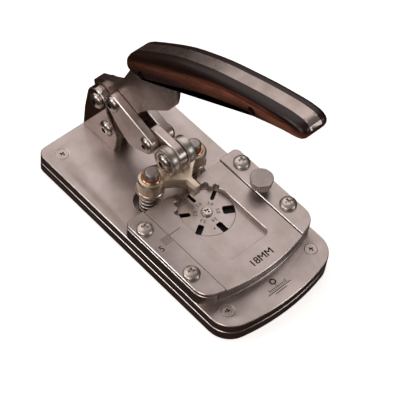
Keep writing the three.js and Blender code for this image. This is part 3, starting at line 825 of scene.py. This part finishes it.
class PUNCH_OT_disc(bpy.types.Operator):
    """Finishes the slotted die disc, its numbers and its screw"""

    bl_idname = "punch.disc"
    bl_label = "Die disc"

    def execute(self, context):
        self.add_disc()
        centre = middle_of("disc_screw")
        top = high_of("die_disc").z
        numbers = []
        for index, words in enumerate(("2.0", "2.0", "5.0", "3.6", "3.2", "2.5")):
            angle = math.radians(90 - 60 * index)
            spot = centre + Vector((math.cos(angle), math.sin(angle), 0)) * 6.1 * MM
            numbers.append(text_shape(words, 2.0, spot.x, spot.y, top, angle - math.pi / 2))
        dot = placed(
            prism(12, 0.5, 0, sizes().etch_depth),
            Matrix.Translation((centre.x - 3.8 * MM, centre.y - 10.3 * MM, top)),
        )
        add_mark("etched_disc_numbers", [*numbers, dot], "disc")
        self.add_screw(centre)
        return {"FINISHED"}

    def add_screw(self, centre):
        """The small cross-recess screw on which the disc turns."""
        profile = [(0, -3), (2.4, -3), (2.4, 0), (3.2, 0), (3.2, 0.5), (2.9, 1.0), (2.2, 1.25), (0, 1.3)]
        # The walls of the cross recess are painted black as shade.
        head = paint_recess_shade(carved(turned(profile), *cross_cutters(1.6, 1.3, 0.9)), 1.7, 1.1)
        seat = Matrix.Translation((centre.x, centre.y, high_of("disc_screw").z - 1.3 * MM))
        turn = Matrix.Rotation(math.radians(25), 4, "Z")
        bm = placed(head, seat, turn)
        finishes = [bright_turned_steel(), etch_black_and_painted_shade()]
        add_piece("finished_disc_screw", bm, finishes, "gauge", ["disc_screw"])

    def add_disc(self):
        """The disc, with its edges broken, and its upright walls, in its slots and round its rim, painted
        black as shade.
        """
        bm = cad_copy("die_disc")
        chamfer(bm, sharp_edges(bm), 0.12)
        # Painted shade: every upright face of the disc gets the black finish.
        for face in bm.faces:
            if abs(face.normal.z) < 0.5:
                face.material_index = 2
        finishes = [ground_plate_steel(), chamfer_highlight_steel(), etch_black_and_painted_shade()]
        add_piece("finished_die_disc", bm, finishes, "disc", ["die_disc"])


class PUNCH_OT_knob(bpy.types.Operator):
    """Makes the clamp knob with its straight knurl"""

    bl_idname = "punch.knob"
    bl_label = "Clamp knob"

    def execute(self, context):
        low, high = low_of("clamp_knob"), high_of("clamp_knob")
        radius = (high.x - low.x) / 2 / MM
        height = KNOB_HEIGHT
        waist = radius - 0.45
        cap = turned(
            [
                (0, height - 1.1),
                (waist, height - 1.1),
                (radius - 0.1, height - 0.95),
                (radius, height - 0.8),
                (radius, height - 0.35),
                (radius - 0.3, height - 0.05),
                (radius - 0.8, height),
                (0, height - 0.1),
            ],
            64,
        )
        skirt = self.knurled(waist, 0.6, height - 1.0)
        for face in skirt.faces:
            face.material_index = 1
        neck = turned(
            [
                (0, -5.4),
                (2.4, -5.4),
                (2.4, -0.6),
                (3.4, -0.1),
                (waist - 1.4, 0.1),
                (waist - 0.6, 0.65),
                (0, 0.65),
            ]
        )
        bm = joined(cap, skirt, neck)
        centre = middle_of("clamp_knob")
        seat = Matrix.Translation((centre.x, centre.y, high.z - height * MM))
        finishes = [lapped_steel(), knurled_steel()]
        add_piece("finished_clamp_knob", placed(bm, seat), finishes, "knob", ["clamp_knob"])
        return {"FINISHED"}

    def knurled(self, radius, low, high):
        """A band of straight ridges."""
        ridges = sizes().knurl_ridges
        bm = prism(4 * ridges, radius, low, high)
        for vert in bm.verts:
            angle = math.atan2(vert.co.y, vert.co.x)
            depth = KNURL_DEPTH * (0.5 - 0.5 * math.cos(ridges * angle))
            shrink = 1 - depth / radius
            vert.co.x *= shrink
            vert.co.y *= shrink
        return bm


class PUNCH_OT_bracket(bpy.types.Operator):
    """Finishes the bracket plates and their two pivots"""

    bl_idname = "punch.bracket"
    bl_label = "Bracket"

    def execute(self, context):
        for side in SIDES:
            node = f"bracket_{side}"
            chamfered_plate(node, "base", mirror_bracket_steel(), sizes().lever_chamfer)
            for end in ENDS:
                refinish(f"bracket_screw_{end}_{side}", bright_turned_steel())
        add_pivot("handle_pivot", "base")
        add_pivot("lever_pivot", "base")
        return {"FINISHED"}


class PUNCH_OT_handle(bpy.types.Operator):
    """Makes the handle: its steel tang, wooden scales and bolts"""

    bl_idname = "punch.handle"
    bl_label = "Handle"

    def execute(self, context):
        self.add_tang()
        for side, sign in zip(SIDES, (-1, 1)):
            self.add_scale(f"scale_{side}", sign)
            refinish(f"liner_{side}", satin_lever_steel())
        for end in ENDS:
            refinish(f"scale_bolt_{end}", bright_turned_steel())
        add_pivot("link_upper", "handle")
        return {"FINISHED"}

    def add_tang(self):
        """The tang, with its edges broken where the scales don't cover it."""
        bm = cad_copy("handle_tang")
        low, high = low_of("scale_left"), high_of("scale_left")
        free = [
            e
            for e in sharp_edges(bm)
            if not all(low.y < v.co.y < high.y and low.z < v.co.z < high.z + SEAM for v in e.verts)
        ]
        chamfer(bm, free, 0.12)
        finishes = [satin_lever_steel(), chamfer_highlight_steel()]
        add_piece("finished_handle_tang", bm, finishes, "handle", ["handle_tang"])

    def add_scale(self, node, sign):
        """A scale grown from its own flat inner face, with its outer edges rounded."""
        low, high = low_of(node), high_of(node)
        inner = low.x if sign > 0 else high.x
        thickness = high.x - low.x
        bm = cad_copy(node)
        others = [f for f in bm.faces if abs(f.calc_center_median().x - inner) > 0.01 * MM]
        bmesh.ops.delete(bm, geom=others, context="FACES")
        rim = self.outer_rim(bm)
        kept = list(bm.faces)
        grown = bmesh.ops.extrude_face_region(bm, geom=kept)
        moved = [v for v in grown["geom"] if isinstance(v, bmesh.types.BMVert)]
        bmesh.ops.translate(bm, verts=moved, vec=(sign * thickness, 0, 0))
        bm.verts.ensure_lookup_table()
        outer = inner + sign * thickness
        rounded = [
            e
            for e in bm.edges
            if all(abs(v.co.x - outer) < 0.001 * MM for v in e.verts)
            and e.calc_face_angle(0.0) > math.radians(45)
            and self.on_rim(e, rim)
        ]
        chamfer(bm, rounded, sizes().grip_rounding, 8, 0)
        self.add_grain(bm)
        made = add_piece(f"finished_{node}", bm, [oiled_rosewood()], "handle", [node], 40)
        return made

    def outer_rim(self, bm):
        """The places, in Y and Z, of the outline's own points, without those round the bolts."""
        bolts = [middle_of(f"scale_bolt_{end}") for end in ENDS]
        return [
            v.co.yz
            for v in bm.verts
            if all((v.co.yz - bolt.yz).length > 4 * MM for bolt in bolts)
        ]

    def on_rim(self, edge, rim):
        return all(min((v.co.yz - spot).length for spot in rim) < 0.01 * MM for v in edge.verts)

    def add_grain(self, bm):
        """Stores each point's place along the bent grip and below its top line, for the wood's figure and
        its painted lit band.
        """
        low, high = low_of("scale_left"), high_of("scale_left")
        layer = bm.verts.layers.float_vector.new("grain")
        for vert in bm.verts:
            y, z = vert.co.y, vert.co.z
            along = min(1.0, max(0.0, (y - low.y) / (high.y - low.y)))
            top = high.z - GRIP_DROP * MM * along**1.7
            slope = math.atan(0.73 * along**0.7)
            vert[layer] = (y * GRAIN_STRETCH, (top - z) * math.cos(slope), vert.co.x)


class PUNCH_OT_links(bpy.types.Operator):
    """Finishes the two links"""

    bl_idname = "punch.links"
    bl_label = "Links"

    def execute(self, context):
        for side in SIDES:
            chamfered_plate(f"link_{side}", "links", satin_lever_steel(), sizes().lever_chamfer)
        return {"FINISHED"}


class PUNCH_OT_lever(bpy.types.Operator):
    """Finishes the roller lever, its pivots and its two rollers"""

    bl_idname = "punch.lever"
    bl_label = "Roller lever"

    def execute(self, context):
        chamfered_plate("press_lever", "lever", satin_lever_steel(), sizes().lever_chamfer)
        add_pivot("link_lower", "lever")
        add_pivot("roller_axle", "lever")
        for side, sign in zip(SIDES, (-1, 1)):
            self.add_roller(side, sign)
        return {"FINISHED"}

    def add_roller(self, side, sign):
        """A bearing: an outer ring with rounded corners, and a shielded hub slightly inside it."""
        ring_node, hub_node = f"roller_{side}", f"roller_hub_{side}"
        low, high = low_of(ring_node), high_of(ring_node)
        radius = (high.z - low.z) / 2 / MM
        half, race = (high.x - low.x) / MM / 2, radius - 1.6
        seat = Matrix.Translation(middle_of(ring_node))
        turn = Matrix.Rotation(sign * math.pi / 2, 4, "Y")
        ring = placed(turned(self.ring_profile(radius, race, half), 64, closed=True), seat, turn)
        finishes = [satin_turned_steel()]
        add_piece(f"finished_{ring_node}", ring, finishes, f"{side}_roller", [ring_node])
        hub = turned(self.hub_profile(race, half), 48, closed=True)
        # Painted shade: the sunk shield and the grooves beside it get the black finish.
        for face in hub.faces:
            middle = face.calc_center_median()
            reach, depth = middle.to_2d().length / MM, half - abs(middle.z) / MM
            face.material_index = 1 if reach > 4.0 and depth > 0.5 else 0
        finishes = [bright_turned_steel(), etch_black_and_painted_shade()]
        bm = placed(hub, seat, turn)
        add_piece(f"finished_{hub_node}", bm, finishes, "lever", [hub_node])

    def ring_profile(self, radius, race, half):
        """Half of the outer ring's section from the inside out, and its mirror image back."""
        corner = [
            (race, -half + 0.3),
            (race + 0.3, -half),
            (radius - 0.5, -half),
            (radius - 0.15, -half + 0.15),
            (radius, -half + 0.5),
        ]
        return corner + [(reach, -depth) for reach, depth in reversed(corner)]

    def hub_profile(self, race, half):
        """Half of the hub's section from the inside out, with its sunk shield, and its mirror image back."""
        face = [
            (2.6, -half),
            (3.9, -half),
            (3.9, -half + 0.7),
            (4.9, -half + 0.7),
            (5.0, -half + 0.35),
            (race - 0.25, -half + 0.35),
            (race - 0.1, -half + 0.7),
        ]
        return face + [(reach, -depth) for reach, depth in reversed(face)]


class PUNCH_OT_press(bpy.types.Operator):
    """Finishes the press bridge, its bushings and the blade"""

    bl_idname = "punch.press"
    bl_label = "Press bridge"

    def execute(self, context):
        bm = cad_copy("press_bridge")
        chamfer(bm, sharp_edges(bm, 40), 0.35, 2)
        finishes = [warm_bridge_steel(), warm_bridge_steel()]
        add_piece("finished_press_bridge", bm, finishes, "press_head", ["press_bridge"])
        blade = cad_copy("punch_blade")
        chamfer(blade, sharp_edges(blade), 0.08)
        finishes = [bright_turned_steel(), chamfer_highlight_steel()]
        add_piece("finished_punch_blade", blade, finishes, "press_head", ["punch_blade"])
        for side in SIDES:
            self.add_bushing(f"bushing_{side}")
        return {"FINISHED"}

    def add_bushing(self, node):
        """A flanged bushing, pressed into the bridge from above."""
        low, high = low_of(node), high_of(node)
        tall = (high.z - low.z) / MM
        flange = (high.x - low.x) / 2 / MM
        sleeve = turned(
            [
                (4.1, 0),
                (5.1, 0),
                (5.1, tall - 0.9),
                (flange, tall - 0.9),
                (flange, tall - 0.3),
                (flange - 0.3, tall),
                (4.3, tall),
                (4.1, tall - 0.2),
            ],
            48,
            closed=True,
        )
        centre = middle_of(node)
        bm = placed(sleeve, Matrix.Translation((centre.x, centre.y, low.z)))
        add_piece(f"finished_{node}", bm, [turned_bronze()], "press_head", [node])


class PUNCH_OT_posts(bpy.types.Operator):
    """Makes the guide posts and the springs round them"""

    bl_idname = "punch.posts"
    bl_label = "Posts and springs"

    def execute(self, context):
        for side in SIDES:
            self.add_post(side)
            self.add_spring(side)
        return {"FINISHED"}

    def add_post(self, side):
        node = f"guide_post_{side}"
        low, high = low_of(node), high_of(node)
        tall = (high.z - low.z) / MM
        radius = (high.x - low.x) / 2 / MM
        post = turned(
            [
                (0, 0),
                (radius, 0),
                (radius, tall - 1.3),
                (radius - 0.12, tall - 0.8),
                (radius - 0.45, tall - 0.35),
                (radius - 1.0, tall - 0.05),
                (radius - 1.5, tall),
                (0, tall),
            ]
        )
        centre = middle_of(node)
        seat = Matrix.Translation((centre.x, centre.y, low.z))
        add_piece(f"finished_{node}", placed(post, seat), [lapped_steel()], "base", [node])

    def add_spring(self, side):
        """A wire wound by turning its own section."""
        node = f"spring_{side}"
        low, high = low_of(node), high_of(node)
        turns = sizes().spring_turns
        wire = SPRING_WIRE_RADIUS * MM
        radius = (high.x - low.x) / 2 - wire
        rise = high.z - low.z - 2 * wire
        steps = turns * 28
        bm = bmesh.new()
        bmesh.ops.create_circle(bm, cap_ends=True, segments=10, radius=wire)
        placed(bm, Matrix.Translation((radius, 0, wire)), Matrix.Rotation(math.pi / 2, 4, "X"))
        section = list(bm.verts) + list(bm.edges) + list(bm.faces)
        bmesh.ops.spin(
            bm,
            geom=section,
            cent=(0, 0, 0),
            axis=(0, 0, 1),
            dvec=(0, 0, rise / steps),
            angle=math.tau * turns,
            steps=steps,
        )
        bmesh.ops.remove_doubles(bm, verts=bm.verts, dist=SEAM)
        centre = middle_of(f"guide_post_{side}")
        foot = Vector((centre.x, centre.y, low.z))
        placed(bm, Matrix.Translation(foot))
        made = add_piece(f"finished_{node}", bm, [spring_wire_steel()], "base", [node], 60)
        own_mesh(made)


class PUNCH_OT_stage(bpy.types.Operator):
    """Adds the pale floor, the studio lights, the surroundings and the camera"""

    bl_idname = "punch.stage"
    bl_label = "Stage"

    def execute(self, context):
        self.add_floor()
        self.add_world()
        self.add_light("back_panel", (0.14, 0.58, 0.78), (1.9, 1.15), 5.5, "#fff6f3")
        self.add_light("left_softbox", (-0.8, -0.25, 0.5), (0.5, 0.5), 1.7, "#fff2ea")
        self.add_light("rim_strip", (-0.82, 0.38, 0.42), (0.25, 0.3), 1.2, "#ffffff")
        self.add_light("front_strip", (0.45, -0.8, 0.42), (0.25, 0.35), 0.9, "#ffffff")
        self.add_camera()
        context.scene.view_settings.view_transform = "Standard"
        return {"FINISHED"}

    def add_floor(self):
        """A pale paper sweep, which only the camera sees pale, as if black flags stood low round it."""
        bm = bmesh.new()
        bmesh.ops.create_circle(bm, cap_ends=True, segments=64, radius=3.0)
        made, tree, shader = start_material("pale_paper")
        shader.inputs["Base Color"].default_value = (*linear("#f4f1ef"), 1)
        shader.inputs["Roughness"].default_value = 0.9
        shader.inputs["Emission Color"].default_value = (1, 0.99, 0.98, 1)
        shader.inputs["Emission Strength"].default_value = 0.75
        flag = add_node(tree, "ShaderNodeEmission", {"Color": (*linear("#3a2a24"), 1), "Strength": 0.6})
        ray = add_node(tree, "ShaderNodeLightPath")
        mix = add_node(
            tree,
            "ShaderNodeMixShader",
            links={0: ray.outputs["Is Camera Ray"], 1: flag.outputs["Emission"], 2: shader.outputs["BSDF"]},
        )
        tree.links.new(mix.outputs["Shader"], tree.nodes["Material Output"].inputs["Surface"])
        mesh = bpy.data.meshes.new("floor")
        bm.to_mesh(mesh)
        bm.free()
        mesh.materials.append(made)
        floor = bpy.data.objects.new("floor", mesh)
        bpy.context.scene.collection.objects.link(floor)

    def add_world(self):
        """Even white for the camera; for light and gloss, dark low down and soft white overhead."""
        world = bpy.data.worlds.new("studio")
        bpy.context.scene.world = world
        world.use_nodes = True
        tree = world.node_tree
        back = tree.nodes["Background"]
        place = add_node(tree, "ShaderNodeTexCoord")
        height = add_node(tree, "ShaderNodeSeparateXYZ", links={"Vector": place.outputs["Generated"]})
        ramp = add_node(tree, "ShaderNodeValToRGB", links={"Fac": height.outputs["Z"]})
        stops = ramp.color_ramp.elements
        stops[0].position, stops[0].color = 0.0, (*linear("#2a201c"), 1)
        stops[1].position, stops[1].color = 1.0, (*linear("#b8aca6"), 1)
        low = ramp.color_ramp.elements.new(0.4)
        low.color = (*linear("#5a4c46"), 1)
        paper = add_node(tree, "ShaderNodeBackground", {"Color": (*linear("#f8f6f5"), 1), "Strength": 1.0})
        back.inputs["Strength"].default_value = 0.45
        tree.links.new(ramp.outputs["Color"], back.inputs["Color"])
        ray = add_node(tree, "ShaderNodeLightPath")
        mix = add_node(
            tree,
            "ShaderNodeMixShader",
            links={
                0: ray.outputs["Is Camera Ray"],
                1: back.outputs["Background"],
                2: paper.outputs["Background"],
            },
        )
        tree.links.new(mix.outputs["Shader"], tree.nodes["World Output"].inputs["Surface"])

    def add_light(self, name, place, spread, power, code):
        light = bpy.data.lights.new(name, "AREA")
        light.shape = "RECTANGLE"
        light.size, light.size_y = spread
        light.energy = power
        light.color = linear(code)
        lamp = bpy.data.objects.new(name, light)
        lamp.location = place
        lamp.rotation_euler = (Vector((0, 0, 0.03)) - Vector(place)).to_track_quat("-Z", "Y").to_euler()
        bpy.context.scene.collection.objects.link(lamp)

    def add_camera(self):
        """A long lens from the left front, well above, and rolled a little."""
        azimuth, elevation, roll = (math.radians(v) for v in (-48.826, 52.885, 7.666))
        target = Vector((6.05, -2.78, 14.81)) * MM
        back = Vector(
            (
                math.sin(azimuth) * math.cos(elevation),
                -math.cos(azimuth) * math.cos(elevation),
                math.sin(elevation),
            )
        )
        right = Vector((math.cos(azimuth), math.sin(azimuth), 0))
        up = back.cross(right)
        turn = Matrix((right, up, back)).transposed() @ Matrix.Rotation(roll, 3, "Z")
        lens = bpy.data.cameras.new("camera")
        lens.sensor_width = 36
        lens.lens = 144
        lens.clip_start = 0.01
        camera = bpy.data.objects.new("camera", lens)
        camera.matrix_world = Matrix.Translation(target + back * 852.6 * MM) @ turn.to_4x4()
        bpy.context.scene.collection.objects.link(camera)
        bpy.context.scene.camera = camera


MAKERS = (
    PUNCH_OT_base,
    PUNCH_OT_station,
    PUNCH_OT_disc,
    PUNCH_OT_knob,
    PUNCH_OT_bracket,
    PUNCH_OT_handle,
    PUNCH_OT_links,
    PUNCH_OT_lever,
    PUNCH_OT_press,
    PUNCH_OT_posts,
    PUNCH_OT_stage,
)


class PUNCH_PT_panel(bpy.types.Panel):
    """Lists what can be made, with its sizes and colours"""

    bl_idname = "PUNCH_PT_panel"
    bl_label = "Strap Punch"
    bl_space_type = "VIEW_3D"
    bl_region_type = "UI"
    bl_category = "Strap Punch"

    def draw(self, context):
        for maker in MAKERS:
            self.layout.operator(maker.bl_idname)
        for group in (context.scene.punch_sizes, context.scene.punch_colours):
            for name in group.__annotations__:
                self.layout.prop(group, name)


CLASSES = (PunchSizes, PunchColours, *MAKERS, PUNCH_PT_panel)


def register():
    for cls in CLASSES:
        bpy.utils.register_class(cls)
    bpy.types.Scene.punch_sizes = bpy.props.PointerProperty(type=PunchSizes)
    bpy.types.Scene.punch_colours = bpy.props.PointerProperty(type=PunchColours)


def unregister():
    del bpy.types.Scene.punch_colours
    del bpy.types.Scene.punch_sizes
    for cls in reversed(CLASSES):
        bpy.utils.unregister_class(cls)


def main():
    register()
    for maker in MAKERS:
        group, name = maker.bl_idname.split(".")
        getattr(getattr(bpy.ops, group), name)()


if __name__ == "__main__":
    main()
